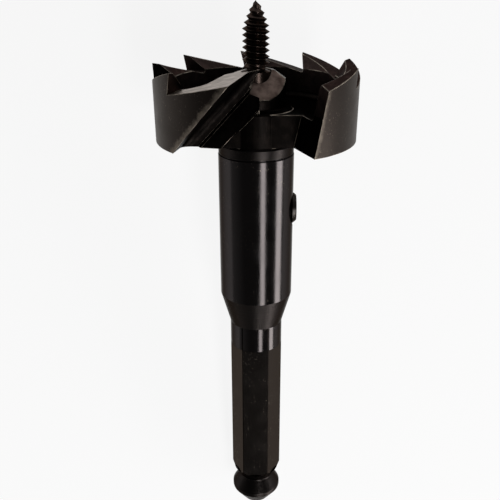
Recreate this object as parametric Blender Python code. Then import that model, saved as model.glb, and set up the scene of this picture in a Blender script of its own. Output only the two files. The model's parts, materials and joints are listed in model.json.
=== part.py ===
"""Self-feed bit: toothed cutter head with one slanted gullet, feed screw, set screw, hex shank.

The bit is modelled upright on its own axis, shank end at z = 0 and feed screw up, under one
empty that lays it down as it rests: on the rim's lower edge and on the shank's collar.
"""
import math

import bmesh
import bpy
from mathutils import Matrix, Vector

for old in list(bpy.data.objects):
    bpy.data.objects.remove(old, do_unlink=True)

MM = 0.001
FIT = 0.3 * MM
# How far a cutter runs past the surface that it opens
CLEAR = 5.0 * MM

# Heights along the axis, from the shank's end face
COLLAR_LOW = 3.8 * MM
COLLAR_HIGH = 4.8 * MM
GROOVE = 8.0 * MM
HEX_LOW = 11.3 * MM
HEX_HIGH = 49.5 * MM
TAPER_LOW = 55.8 * MM
TAPER_HIGH = 63.6 * MM
BARREL_TOP = 98.1 * MM
RING_LOW = 99.0 * MM
BASE_HUB = 100.9 * MM
BASE_RIM = 101.6 * MM
FLOOR = 108.1 * MM
BOSS_TOP = 114.6 * MM
NOSE_TOP = 116.4 * MM
LIP = 116.5 * MM
TOOTH_TIP = 117.8 * MM
SCREW_TIP = 130.3 * MM

# Radii of the turned shank, hub and boss
END_R = 3.5 * MM
COLLAR_R = 6.3 * MM
GROOVE_R = 4.4 * MM
BAR_R = 6.35 * MM
HEX_FLATS = 11.11 * MM
HEX_TURN = math.radians(-2.0)
BARREL_R = 8.6 * MM
RING_R = 8.5 * MM
HUB_R = 8.2 * MM
BOSS_R = 6.5 * MM
NOSE_R = 3.9 * MM

# Cutter head
RIM_TOP_R = 22.35 * MM
RIM_LOW_R = 22.2 * MM
CUP_R = 17.9 * MM
CUP_FILLET = 1.2 * MM
RIM_LAND = 1.2 * MM

# Teeth: one straight gash per tooth, along the radius at its middle
TOOTH_PITCH = math.radians(40.0)
FIRST_TOOTH = math.radians(-50.0)
GASH_COUNT = 7
TOOTH_DEPTH = 4.2 * MM
TOOTH_HOOK = math.radians(13.0)
GASH_ROOT_R = 0.5 * MM

# Lip: a straight edge from near the boss to the rim, at the height LIP
LIP_OUT_X = -5.1 * MM
LIP_OUT_Y = -21.5 * MM
LIP_SKEW = math.radians(11.6)
FLANK_ANGLE = math.radians(12.5)
FLANK_OVER = 1.5 * MM
ARM_REAR_SKEW = math.radians(16.0)
ARM_REAR_X = -6.8 * MM
ARM_REAR_Y = 1.5 * MM
ARM_REAR_LEAN = 3.0 * MM
ARM_FRONT_X = 0.67 * MM
ARM_FRONT_Y = -9.5 * MM
ARM_FILLET = 3.0 * MM

# Gullet: one slanted pass under the lip, with a deep and a shallow floor, and one upright pass
RAKE_ANGLE = math.radians(42.0)
SLANT_OUTWARD = math.radians(10.0)
DEEP_FLOOR = 4.3 * MM
DEEP_FILLET = 2.0 * MM
DEEP_SIDE = 5.2 * MM
SHALLOW_FROM = 5.4 * MM
SHALLOW_TO = 6.2 * MM
SLANT_RIGHT = 9.2 * MM
UPRIGHT_FLOOR = 7.5 * MM
RIGHT_WALL_X = 9.9 * MM
RIGHT_WALL_Y = 8.4 * MM
RIGHT_WALL_SKEW = math.radians(16.7)
RIGHT_WALL_SLANT = math.radians(12.6)

# Chamfer on the boss, in front of the feed screw
FLAT_TURN = math.radians(12.0)
FLAT_HEIGHT = 115.2 * MM
FLAT_LEFT = 1.3 * MM
FLAT_FLARE = math.radians(38.9)

# Feed screw
SCREW_R = 3.175 * MM
BORE_TAIL = 4.9 * MM
THREAD_LOW = 116.6 * MM
THREAD_PITCH = 1.27 * MM
CREST_R = 2.95 * MM
ROOT_R = 2.05 * MM
POINT_LENGTH = 5.2 * MM
THREAD_SIDES = 20
SEAT_FLAT = 0.5 * MM

# Set screw in the barrel's side
SET_HEIGHT = 85.0 * MM
SET_R = 3.7 * MM
SET_PROUD = 0.7 * MM
SET_SOCKET = 4.0 * MM
SOCKET_DEPTH = 2.6 * MM

# Sides of the turned surfaces, and how many of them the bit rolls by until its weight is lowest
SIDES = 72
REST_SIDES = -1
REST_ROLL = 2 * math.pi * REST_SIDES / SIDES

STEEL_BODY = (0.030, 0.026, 0.022)
STEEL_SCREW = (0.022, 0.019, 0.017)
STEEL_SET = (0.018, 0.016, 0.015)


def material(name, colour, roughness):
    mat = bpy.data.materials.new(name)
    mat.use_nodes = True
    shader = mat.node_tree.nodes["Principled BSDF"]
    shader.inputs["Base Color"].default_value = (*colour, 1.0)
    shader.inputs["Metallic"].default_value = 0.9
    shader.inputs["Roughness"].default_value = roughness
    return mat


def new_object(name, bm, mat=None):
    bmesh.ops.recalc_face_normals(bm, faces=bm.faces)
    mesh = bpy.data.meshes.new(name)
    bm.to_mesh(mesh)
    bm.free()
    obj = bpy.data.objects.new(name, mesh)
    bpy.context.collection.objects.link(obj)
    if mat is not None:
        mesh.materials.append(mat)
    return obj


def lathe(name, profile, sides, mat=None):
    """Turn (radius, height) points about the axis; a zero radius closes an end."""
    bm = bmesh.new()
    rings = []
    for radius, height in profile:
        if radius == 0:
            rings.append([bm.verts.new((0, 0, height))])
            continue
        ring = []
        for i in range(sides):
            angle = 2 * math.pi * (i + 0.5) / sides
            ring.append(bm.verts.new((radius * math.sin(angle), -radius * math.cos(angle), height)))
        rings.append(ring)
    for low, high in zip(rings, rings[1:]):
        for i in range(sides):
            j = (i + 1) % sides
            if len(low) == 1:
                bm.faces.new((low[0], high[i], high[j]))
            elif len(high) == 1:
                bm.faces.new((low[i], low[j], high[0]))
            else:
                bm.faces.new((low[i], low[j], high[j], high[i]))
    return new_object(name, bm, mat)


def prism(name, outline, start, end):
    """Extrude an outline of 3-D points by two offsets, start and end, along one direction."""
    bm = bmesh.new()
    near = [bm.verts.new(p + start) for p in outline]
    far = [bm.verts.new(p + end) for p in outline]
    bm.faces.new(near)
    bm.faces.new(far)
    for i in range(len(outline)):
        j = (i + 1) % len(outline)
        bm.faces.new((near[i], near[j], far[j], far[i]))
    return new_object(name, bm)


def boolean(target, tool, operation):
    tool.hide_render = True
    tool.display_type = "WIRE"
    tool.parent = rest
    mod = target.modifiers.new(tool.name, "BOOLEAN")
    mod.operation = operation
    mod.solver = "EXACT"
    mod.object = tool


def fillet(centre, radius, first, last, steps):
    """Points of an arc in a plane, as (a, b) pairs, from one angle to another."""
    points = []
    for i in range(steps + 1):
        angle = first + (last - first) * i / steps
        points.append((centre[0] + radius * math.cos(angle), centre[1] + radius * math.sin(angle)))
    return points


# Rest: the rim's lower edge and the collar touch the surface that the bit lies on
flat_share = math.cos(math.pi / SIDES)
rest_run = BASE_RIM - COLLAR_LOW
rest_tilt = math.atan((RIM_LOW_R - COLLAR_R) * flat_share / rest_run)
rest_drop = RIM_LOW_R * flat_share * math.cos(rest_tilt) - BASE_RIM * math.sin(rest_tilt)
rest = bpy.data.objects.new("rest", None)
bpy.context.collection.objects.link(rest)
lie = Matrix(((1, 0, 0), (0, math.sin(rest_tilt), math.cos(rest_tilt)),
              (0, -math.cos(rest_tilt), math.sin(rest_tilt))))
# The middle of the bit's length on the ground plan is at y = 0
half_length = 0.5 * (SCREW_TIP * math.cos(rest_tilt) - END_R * flat_share * math.sin(rest_tilt))
rest.matrix_world = Matrix.Translation((0, -half_length, rest_drop)) @ (
    lie @ Matrix.Rotation(REST_ROLL, 3, "Z")).to_4x4()

body_steel = material("black_oxide_body_steel", STEEL_BODY, 0.38)
screw_steel = material("black_oxide_screw_steel", STEEL_SCREW, 0.32)
set_steel = material("black_oxide_set_screw_steel", STEEL_SET, 0.40)

# Head blank: base, cup floor and bevelled rim, turned in one piece
cup_corner = fillet((CUP_R - CUP_FILLET, FLOOR + CUP_FILLET), CUP_FILLET, -math.pi / 2, 0, 3)
bevel_low = TOOTH_TIP - (RIM_TOP_R - RIM_LAND - CUP_R)
body = lathe("bit_body", [(0, BASE_HUB), (HUB_R, BASE_HUB), (RIM_LOW_R, BASE_RIM),
                          (RIM_TOP_R, TOOTH_TIP), (RIM_TOP_R - RIM_LAND, TOOTH_TIP),
                          (CUP_R, bevel_low)] + cup_corner[::-1] + [(0, FLOOR)],
             SIDES, body_steel)
body.parent = rest

# Arm: the web behind the lip, from the boss to the rim
lip_dir = Vector((math.sin(LIP_SKEW), math.cos(LIP_SKEW), 0))
lip_side = Vector((math.cos(LIP_SKEW), -math.sin(LIP_SKEW), 0))
lip_out = Vector((LIP_OUT_X, LIP_OUT_Y, LIP))
rear_dir = Vector((-math.sin(ARM_REAR_SKEW), -math.cos(ARM_REAR_SKEW), 0))
rear_side = Vector((-math.cos(ARM_REAR_SKEW), math.sin(ARM_REAR_SKEW), 0))
rear_top = Vector((ARM_REAR_X, ARM_REAR_Y, 0))
# The fillet between the arm's rear and the cup's wall has its centre on both offset lines
fillet_path = CUP_R - ARM_FILLET
offset = rear_top + rear_side * ARM_FILLET
along = -offset.dot(rear_dir) + math.sqrt(
    offset.dot(rear_dir) ** 2 - offset.length_squared + fillet_path ** 2)
corner = offset + rear_dir * along
first = math.atan2(-rear_side.y, -rear_side.x)
last = math.atan2(corner.y, corner.x)
corner_arc = fillet((corner.x, corner.y), ARM_FILLET, first, last, 5)
mid_wall = 0.5 * (CUP_R + RIM_LOW_R)
wall_steps = 8
wall_from = math.atan2(corner.x, -corner.y)
arm_plan = [Vector((rear_top.x, rear_top.y, 0))]
arm_plan += [Vector((a, b, 0)) for a, b in corner_arc]
for i in range(wall_steps + 1):
    angle = wall_from + (math.radians(5.0) - wall_from) * i / wall_steps
    arm_plan.append(Vector((mid_wall * math.sin(angle), -mid_wall * math.cos(angle), 0)))
arm_plan += [Vector((ARM_FRONT_X, ARM_FRONT_Y, 0)), Vector((ARM_FRONT_X, ARM_REAR_Y, 0))]
arm_low = 0.5 * (FLOOR + BASE_RIM)
flank_drop = math.tan(FLANK_ANGLE)


def on_flank(point):
    """The point at the height of the plane that falls away behind the lip."""
    behind = (point - lip_out).dot(lip_side)
    return Vector((point.x, point.y, LIP + behind * flank_drop))


arm = prism("arm", arm_plan, Vector((0, 0, arm_low)), Vector((0, 0, TOOTH_TIP)))
# Its rear leans out towards the foot, clear of the slanted pass
for vert in list(arm.data.vertices)[:len(corner_arc) + 1]:
    vert.co.x -= ARM_REAR_LEAN
# The arm's top stands a little above the flank, which is cut later
for vert in list(arm.data.vertices)[len(arm_plan):]:
    vert.co.z = on_flank(vert.co).z + FIT
boolean(body, arm, "UNION")

# Gashes between the teeth
half_pitch = 0.5 * TOOTH_PITCH
tooth_side = RIM_TOP_R * math.sin(half_pitch)
gash_hook = TOOTH_DEPTH * math.tan(TOOTH_HOOK)
gash_slope = math.atan(TOOTH_DEPTH / (2 * tooth_side + gash_hook))


def gash_outline():
    """The gash's section: the hooked leading face, a small root radius and the land."""
    root = Vector((-tooth_side - gash_hook, TOOTH_TIP - TOOTH_DEPTH))
    face = Vector((math.sin(TOOTH_HOOK), math.cos(TOOTH_HOOK)))
    land = Vector((math.cos(gash_slope), math.sin(gash_slope)))
    corner_angle = math.acos(face.dot(land))
    middle = (face + land).normalized()
    centre = root + middle * (GASH_ROOT_R / math.sin(corner_angle / 2))
    turn_in = math.pi - TOOTH_HOOK
    turn_out = 1.5 * math.pi + gash_slope
    arc = fillet(centre, GASH_ROOT_R, turn_in, turn_out, 3)
    top_left = root + face * ((TOOTH_DEPTH + CLEAR) / math.cos(TOOTH_HOOK))
    tip = root + land * ((TOOTH_DEPTH + RIM_LAND) / math.sin(gash_slope))
    return [tuple(top_left)] + arc + [tuple(tip), (tip.x, TOOTH_TIP + CLEAR)]


for number in range(GASH_COUNT):
    middle = FIRST_TOOTH - half_pitch - number * TOOTH_PITCH
    out = Vector((math.sin(middle), -math.cos(middle), 0))
    turn = Vector((math.cos(middle), math.sin(middle), 0))
    section = [turn * w + Vector((0, 0, z)) for w, z in gash_outline()]
    gash = prism(f"gash_{number + 1}", section, out * (CUP_R - CLEAR), out * (RIM_TOP_R + CLEAR))
    boolean(body, gash, "DIFFERENCE")

# The slanted pass runs down to the left and, in the rake face's plane, a little outward
slant_level = Vector((-math.sin(RAKE_ANGLE), 0, -math.cos(RAKE_ANGLE)))
slant_side = Vector((math.cos(RAKE_ANGLE), 0, -math.sin(RAKE_ANGLE)))
slant_dir = (slant_level * math.cos(SLANT_OUTWARD) - lip_dir * math.sin(SLANT_OUTWARD)).normalized()

# Upright pass: between the slanted pass and the gullet's right wall
edge_at = lip_out + slant_side * (SLANT_RIGHT - 0.3 * MM)
left_slope = slant_dir.x / slant_dir.z
wall_low = BASE_HUB - CLEAR
wall_bend = edge_at.z + (ARM_FRONT_X - 0.3 * MM - edge_at.x) / left_slope
wall_high = TOOTH_TIP + CLEAR


def left_x(height):
    return min(ARM_FRONT_X - 0.3 * MM, edge_at.x + (height - edge_at.z) * left_slope)


def right_x(y, height):
    wall = RIGHT_WALL_X + (height - FLOOR) * math.tan(RIGHT_WALL_SLANT)
    return wall - (y + RIGHT_WALL_Y) * math.tan(RIGHT_WALL_SKEW)


upright = bmesh.new()
corners = []
for height in (wall_low, wall_bend, wall_high):
    front = -(RIM_TOP_R + CLEAR)
    back = -UPRIGHT_FLOOR
    corners.append([upright.verts.new(p) for p in (
        (left_x(height), front, height), (right_x(front, height), front, height),
        (right_x(back, height), back, height), (left_x(height), back, height))])
upright.faces.new(corners[0])
upright.faces.new(corners[-1])
for low, high in zip(corners, corners[1:]):
    for i in range(4):
        j = (i + 1) % 4
        upright.faces.new((low[i], low[j], high[j], high[i]))
boolean(body, new_object("gullet_upright", upright), "DIFFERENCE")

# Boss, hub, barrel, neck and shank, turned in one piece
shaft = lathe("shaft", [(0, 0), (END_R, 0), (COLLAR_R, COLLAR_LOW), (COLLAR_R, COLLAR_HIGH),
                        (GROOVE_R, GROOVE), (BAR_R, HEX_LOW), (BAR_R, TAPER_LOW),
                        (BARREL_R, TAPER_HIGH), (BARREL_R, BARREL_TOP), (RING_R, RING_LOW),
                        (RING_R, BASE_HUB - 0.4 * MM), (HUB_R, BASE_HUB - 0.1 * MM),
                        (HUB_R, FLOOR + 0.1 * MM), (BOSS_R, FLOOR + 0.5 * MM),
                        (BOSS_R, BOSS_TOP), (NOSE_R, NOSE_TOP), (0, NOSE_TOP)], SIDES)
boolean(body, shaft, "UNION")

# Flank behind the lip, up to the second tooth's leading face
face_mid = FIRST_TOOTH + half_pitch
face_out = Vector((math.sin(face_mid), -math.cos(face_mid), 0))
face_turn = Vector((math.cos(face_mid), math.sin(face_mid), 0))
face_foot = -tooth_side - gash_hook
outside = RIM_TOP_R + CLEAR


def on_leading_face(reach):
    """Where the flank meets the hooked leading face, at a distance out from the axis."""
    point = face_turn * face_foot + face_out * reach
    rise = on_flank(point).z - (TOOTH_TIP - TOOTH_DEPTH)
    return point + face_turn * rise * math.tan(TOOTH_HOOK)


flank_plan = [on_leading_face(outside), on_leading_face(CUP_R - CLEAR),
              Vector((ARM_REAR_X - CLEAR, BOSS_R + FLANK_OVER, 0)),
              Vector((ARM_FRONT_X + FLANK_OVER, BOSS_R + FLANK_OVER, 0)),
              Vector((ARM_FRONT_X + FLANK_OVER, -outside, 0)), Vector((-0.5 * outside, -outside, 0))]
flank_high = TOOTH_DEPTH + CLEAR
flank = prism("flank", [on_flank(p) for p in flank_plan], Vector((0, 0, 0)),
              Vector((0, 0, flank_high)))
# Its left side leans with the leading face of the second tooth
for vert in list(flank.data.vertices)[len(flank_plan):len(flank_plan) + 2]:
    vert.co += face_turn * flank_high * math.tan(TOOTH_HOOK)
boolean(body, flank, "DIFFERENCE")

# Slanted pass of the gullet
rake_lean = math.atan2(lip_dir.dot(slant_side), lip_dir.y)


def slant_section():
    """Rake face, fillet, deep floor, shallow floor and right side, from the lip's outer end."""
    face = Vector((math.sin(rake_lean), math.cos(rake_lean)))
    out = -(RIM_TOP_R + 2 * CLEAR + LIP_OUT_Y)
    deep_y = -DEEP_FLOOR - LIP_OUT_Y
    foot = face * (deep_y / math.cos(rake_lean))
    inside = math.pi / 2 + rake_lean
    back = DEEP_FILLET / math.tan(inside / 2)
    centre = (foot.x + back, deep_y - DEEP_FILLET)
    arc = fillet(centre, DEEP_FILLET, math.pi - rake_lean, math.pi / 2, 6)
    shallow = [(DEEP_SIDE, deep_y), (DEEP_SIDE + 0.4 * MM, -SHALLOW_FROM - LIP_OUT_Y)]
    corner = (SLANT_RIGHT, -SHALLOW_TO - LIP_OUT_Y)
    return [tuple(face * out)] + arc + shallow + [corner, (SLANT_RIGHT, out)]


slant_plan = [lip_out + slant_side * e + Vector((0, y, 0)) for e, y in slant_section()]
slant_high = (TOOTH_TIP - LIP + CLEAR) / math.cos(RAKE_ANGLE) + SLANT_RIGHT * math.tan(RAKE_ANGLE)
slant_low = (LIP - BASE_HUB + CLEAR) / math.cos(RAKE_ANGLE)
slant = prism("gullet_slanted", slant_plan, slant_dir * -slant_high, slant_dir * slant_low)
# It stops at the upright plane that the boss starts at
reach = RIM_TOP_R + 3 * CLEAR
keep_plan = [Vector((-reach, -reach, 0)), Vector((ARM_FRONT_X, -reach, 0)),
             Vector((ARM_FRONT_X, reach, 0)), Vector((-reach, reach, 0))]
slant_keep = prism("gullet_slanted_side", keep_plan, Vector((0, 0, BARREL_TOP - 2 * CLEAR)),
                   Vector((0, 0, SCREW_TIP + 2 * CLEAR)))
boolean(slant, slant_keep, "INTERSECT")
boolean(body, slant, "DIFFERENCE")

# Hexagon flats on the round bar
hexagon = bmesh.new()
rows = []
for height in (HEX_LOW - 0.7 * MM, HEX_HIGH):
    for across in (HEX_FLATS, HEX_FLATS + 2 * CLEAR):
        ring = []
        for i in range(6):
            angle = HEX_TURN + math.radians(30.0 + 60.0 * i)
            radius = 0.5 * across / math.cos(math.radians(30.0))
            ring.append(hexagon.verts.new((radius * math.sin(angle), -radius * math.cos(angle), height)))
        rows.append(ring)
inner_low, outer_low, inner_high, outer_high = rows
for i in range(6):
    j = (i + 1) % 6
    hexagon.faces.new((inner_low[i], inner_low[j], outer_low[j], outer_low[i]))
    hexagon.faces.new((inner_high[i], inner_high[j], outer_high[j], outer_high[i]))
    hexagon.faces.new((inner_low[i], inner_low[j], inner_high[j], inner_high[i]))
    hexagon.faces.new((outer_low[i], outer_low[j], outer_high[j], outer_high[i]))
boolean(body, new_object("hexagon_flats", hexagon), "DIFFERENCE")

# Chamfer on the boss in front of the feed screw
flat_left = Vector((-math.cos(FLAT_TURN), -math.sin(FLAT_TURN), 0))
flat_front = Vector((math.sin(FLAT_TURN), -math.cos(FLAT_TURN), 0))
flat_down = (flat_front + Vector((0, 0, -1))).normalized()
flat_up = (flat_front + Vector((0, 0, 1))).normalized()
flat_point = Vector((0, 0, FLAT_HEIGHT + 2.1 * MM))
flat_reach = BOSS_R + 0.5 * CLEAR
flat_meet = SCREW_R * math.sqrt(2)
flare_up = FLAT_LEFT - (flat_meet + CLEAR) * math.tan(FLAT_FLARE)
flare_down = FLAT_LEFT + (flat_reach - flat_meet) * math.tan(FLAT_FLARE)
flat_plan = [flat_point + flat_left * flare_up - flat_down * CLEAR,
             flat_point + flat_left * flare_down + flat_down * flat_reach,
             flat_point - flat_left * flat_reach + flat_down * flat_reach,
             flat_point - flat_left * flat_reach - flat_down * CLEAR]
boss_flat = prism("boss_flat", flat_plan, Vector((0, 0, 0)), flat_up * (BOSS_R + CLEAR))
boolean(body, boss_flat, "DIFFERENCE")

# Bore for the feed screw and the hole for its set screw
bore_r = SCREW_R + FIT
bore_low = SET_HEIGHT - SET_R - BORE_TAIL
bore = lathe("bore", [(0, bore_low), (bore_r, bore_low), (bore_r, TOOTH_TIP), (0, TOOTH_TIP)], 48)
boolean(body, bore, "DIFFERENCE")
hole_from = 0.7 * SCREW_R
side_hole = lathe("side_hole", [(0, hole_from), (SET_R + FIT, hole_from),
                                (SET_R + FIT, BARREL_R + CLEAR), (0, BARREL_R + CLEAR)], 32)
boolean(body, side_hole, "DIFFERENCE")
side_hole.matrix_basis = Matrix.Translation((0, 0, SET_HEIGHT)) @ Matrix.Rotation(math.pi / 2, 4, "Y")

# Feed screw: plain shank with a flat for the set screw, then the thread and the gimlet point
screw_low = bore_low + FIT
seat_x = SCREW_R - SEAT_FLAT
thread_high = SCREW_TIP - 1.0 * MM
turns = (thread_high - THREAD_LOW) / THREAD_PITCH


def thread_scale(height):
    """Full size below the point, then a taper to the tip."""
    left = SCREW_TIP - height
    return min(1.0, max(0.12, left / POINT_LENGTH)) ** 0.85


def thread_radius(height, angle):
    """Sharp crests on a round core, one start, fading in above the shank."""
    phase = ((height - THREAD_LOW) / THREAD_PITCH - angle / (2 * math.pi)) % 1.0
    ridge = max(0.0, 1.0 - abs(phase - 0.5) / 0.30)
    fade = min(1.0, max(0.0, (height - THREAD_LOW) / (0.6 * THREAD_PITCH)))
    scale = thread_scale(height)
    return (ROOT_R + (CREST_R - ROOT_R) * ridge * fade) * scale


def helical_screw():
    """Rings that climb with the thread, so that crests and roots fall on mesh lines."""
    bm = bmesh.new()
    bands = (0.0, 0.20, 0.35, 0.5, 0.65, 0.80)
    rings = []

    def flat_ring(radius, height, seat):
        ring = []
        for i in range(THREAD_SIDES):
            angle = 2 * math.pi * i / THREAD_SIDES
            x = radius * math.cos(angle)
            y = radius * math.sin(angle)
            if seat:
                x = min(x, seat_x)
            ring.append(bm.verts.new((x, y, height)))
        rings.append(ring)

    flat_low = SET_HEIGHT - SET_R - 1.5 * MM
    flat_high = SET_HEIGHT + SET_R + 1.5 * MM
    bottom = bm.verts.new((0, 0, screw_low))
    flat_ring(SCREW_R - 0.4 * MM, screw_low, False)
    flat_ring(SCREW_R, screw_low + 0.4 * MM, False)
    flat_ring(SCREW_R, flat_low, False)
    flat_ring(SCREW_R, flat_low + 0.05 * MM, True)
    flat_ring(SCREW_R, flat_high, True)
    flat_ring(SCREW_R, flat_high + 0.05 * MM, False)
    flat_ring(SCREW_R, THREAD_LOW - 0.5 * MM, False)
    flat_ring(ROOT_R, THREAD_LOW - 0.1 * MM, False)
    for turn_number in range(int(turns)):
        for band in bands:
            ring = []
            for i in range(THREAD_SIDES):
                angle = 2 * math.pi * i / THREAD_SIDES
                height = THREAD_LOW + THREAD_PITCH * (turn_number + band + i / THREAD_SIDES)
                radius = thread_radius(height, angle)
                ring.append(bm.verts.new((radius * math.cos(angle), radius * math.sin(angle), height)))
            rings.append(ring)
    for low, high in zip(rings, rings[1:]):
        for i in range(THREAD_SIDES - 1):
            bm.faces.new((low[i], low[i + 1], high[i + 1], high[i]))
    # The seam: a helical ring ends one pitch higher than it starts
    first_helix = len(rings) - int(turns) * len(bands)
    return bm, rings, bottom, first_helix, len(bands)


bm, rings, bottom, first_helix, band_count = helical_screw()
last = THREAD_SIDES - 1
for index in range(first_helix - 1):
    low = rings[index]
    high = rings[index + 1]
    bm.faces.new((low[last], low[0], high[0], high[last]))
helix = rings[first_helix:]
for index in range(len(helix) - 1 - band_count):
    bm.faces.new((helix[index][last], helix[index + band_count][0],
                  helix[index + 1 + band_count][0], helix[index + 1][last]))
# Close the lower run-out between the last flat ring and the first turn
plain = rings[first_helix - 1]
start = [helix[k][0] for k in range(band_count + 1)]
for low, high in zip(start, start[1:]):
    bm.faces.new((plain[0], low, high))
bm.faces.new((plain[last], plain[0], start[-1], helix[0][last]))
for i in range(THREAD_SIDES):
    j = (i + 1) % THREAD_SIDES
    bm.faces.new((bottom, rings[0][i], rings[0][j]))
tip = bm.verts.new((0, 0, SCREW_TIP))
for i in range(THREAD_SIDES - 1):
    bm.faces.new((helix[-1][i], helix[-1][i + 1], tip))
ends = [helix[k][last] for k in range(len(helix) - 1 - band_count, len(helix))]
for low, high in zip(ends, ends[1:]):
    bm.faces.new((low, high, tip))
bm.faces.new((ends[0], tip, helix[-1][0]))
feed = new_object("feed_screw", bm, screw_steel)
feed.parent = rest

# Set screw: hexagon socket outside, seated on the feed screw's flat
tip_x = seat_x + FIT
set_length = BARREL_R + SET_PROUD - tip_x
socket_r = 0.5 * SET_SOCKET / math.cos(math.radians(30.0))
set_screw = lathe("set_screw", [(0, 0), (SET_R - 1.2 * MM, 0), (SET_R, 1.2 * MM),
                                (SET_R, set_length - 0.5 * MM),
                                (SET_R - 0.5 * MM, set_length), (0, set_length)], 32, set_steel)
set_screw.parent = rest
set_screw.matrix_basis = Matrix.Translation((tip_x, 0, SET_HEIGHT)) @ Matrix.Rotation(math.pi / 2, 4, "Y")
socket = lathe("socket", [(0, set_length - SOCKET_DEPTH - 1.0 * MM),
                          (socket_r, set_length - SOCKET_DEPTH),
                          (socket_r, set_length + 1.0 * MM), (0, set_length + 1.0 * MM)], 6)
boolean(set_screw, socket, "DIFFERENCE")
socket.matrix_basis = set_screw.matrix_basis.copy()

for obj in (body, feed, set_screw):
    obj.data.shade_smooth()
    obj.data.set_sharp_from_angle(angle=math.radians(30.0))
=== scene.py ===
# %% [markdown]
# # A self-feed bit
#
# A self-feed bit bores wide holes in wood. One piece of steel carries a cup with saw teeth on its
# rim, one lip that planes the bottom of the hole, and a long shank. A feed screw in the middle
# pulls it in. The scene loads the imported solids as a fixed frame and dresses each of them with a
# finer piece of the same sizes.

# %% Load the frame
import json
import math

import bmesh
import bpy
from mathutils import Matrix, Vector

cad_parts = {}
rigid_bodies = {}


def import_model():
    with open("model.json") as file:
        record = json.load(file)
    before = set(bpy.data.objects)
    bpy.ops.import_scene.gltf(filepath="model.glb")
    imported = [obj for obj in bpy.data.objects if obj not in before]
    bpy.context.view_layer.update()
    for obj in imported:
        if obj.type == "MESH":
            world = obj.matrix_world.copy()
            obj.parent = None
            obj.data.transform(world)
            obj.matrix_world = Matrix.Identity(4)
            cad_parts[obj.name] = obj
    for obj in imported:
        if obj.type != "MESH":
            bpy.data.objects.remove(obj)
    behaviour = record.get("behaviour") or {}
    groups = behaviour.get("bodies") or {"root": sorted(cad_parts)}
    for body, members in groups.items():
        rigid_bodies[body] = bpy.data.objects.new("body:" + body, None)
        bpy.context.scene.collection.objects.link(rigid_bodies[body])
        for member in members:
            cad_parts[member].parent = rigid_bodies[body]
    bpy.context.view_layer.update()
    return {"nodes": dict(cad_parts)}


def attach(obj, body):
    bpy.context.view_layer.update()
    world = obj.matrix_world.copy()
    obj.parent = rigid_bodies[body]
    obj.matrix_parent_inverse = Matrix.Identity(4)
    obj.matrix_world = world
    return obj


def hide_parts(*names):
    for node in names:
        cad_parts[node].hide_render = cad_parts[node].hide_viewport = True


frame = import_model()
print("solids:", sorted(frame["nodes"]))

# %% [markdown]
# Every turned size is a height along the axis and a radius. They are kept in millimetres from the
# shank's end face, as on a maker's drawing, and one matrix brings them to the frame at the end.

# %% Sizes of the bit, in millimetres
COLLAR_LOW, COLLAR_HIGH, GROOVE = 3.8, 4.8, 8.0
HEX_LOW, HEX_HIGH, TAPER_LOW, TAPER_HIGH = 11.3, 49.5, 55.8, 63.6
BARREL_TOP, BASE_HUB, BASE_RIM = 98.1, 100.9, 101.6
FLOOR, BOSS_TOP, NOSE_TOP = 108.1, 114.6, 116.4
LIP, TOOTH_TIP, SCREW_TIP = 116.5, 117.8, 130.3
END_R, COLLAR_R, GROOVE_R, BAR_R, HEX_FLATS = 3.5, 6.3, 4.4, 6.35, 11.11
BARREL_R, RING_R, HUB_R, BOSS_R, NOSE_R = 8.6, 8.5, 8.2, 6.5, 3.9
RIM_TOP_R, RIM_LOW_R, CUP_R, CUP_FILLET, RIM_LAND = 22.35, 22.2, 17.9, 1.2, 1.2
SCREW_R, SET_HEIGHT, SET_R, SET_PROUD = 3.175, 85.0, 3.7, 0.7
SOLID_SIDES = 72
print("the bit is", SCREW_TIP, "mm long and", 2 * RIM_TOP_R, "mm across the teeth")

# %% [markdown]
# The bit rests on its rim and its collar, with its open side up. The tilt follows from their radii
# and heights. The solids' rounds have flat sides, a little inside the true circle, so the contact
# is worked out on those flats. The matrix made here turns millimetres on the bit's own axis into
# metres in the frame, and every piece goes through it once, at the end.

# %% Lay the bit down as it rests
flat_share = math.cos(math.pi / SOLID_SIDES)
tilt = math.atan((RIM_LOW_R - COLLAR_R) * flat_share / (BASE_RIM - COLLAR_LOW))
drop = RIM_LOW_R * flat_share * math.cos(tilt) - BASE_RIM * math.sin(tilt)
middle = 0.5 * (SCREW_TIP * math.cos(tilt) - END_R * flat_share * math.sin(tilt))
roll = -2 * math.pi / SOLID_SIDES
lie = Matrix(((1, 0, 0), (0, math.sin(tilt), math.cos(tilt)),
              (0, -math.cos(tilt), math.sin(tilt)))) @ Matrix.Rotation(roll, 3, "Z")
resting_place = Matrix.Translation((0, -middle * 0.001, drop * 0.001))
TO_FRAME = resting_place @ lie.to_4x4() @ Matrix.Scale(0.001, 4)
print("tilt of the axis:", round(math.degrees(tilt), 2), "degrees")

# %% [markdown]
# The photograph looks at the open side, from a little above the cutter's end. So the camera is
# placed on the bit's own axes and laid down with it, which keeps the view when the tilt changes.

# %% The camera
PITCH = math.radians(23.02)
CAMERA_DISTANCE = 150.3
CAMERA_HEIGHT = 138.0
FOCAL_PIXELS = 680.94
AXIS_PIXEL = 256.1
IMAGE_PIXELS = 500
SENSOR_WIDTH = 36.0

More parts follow.
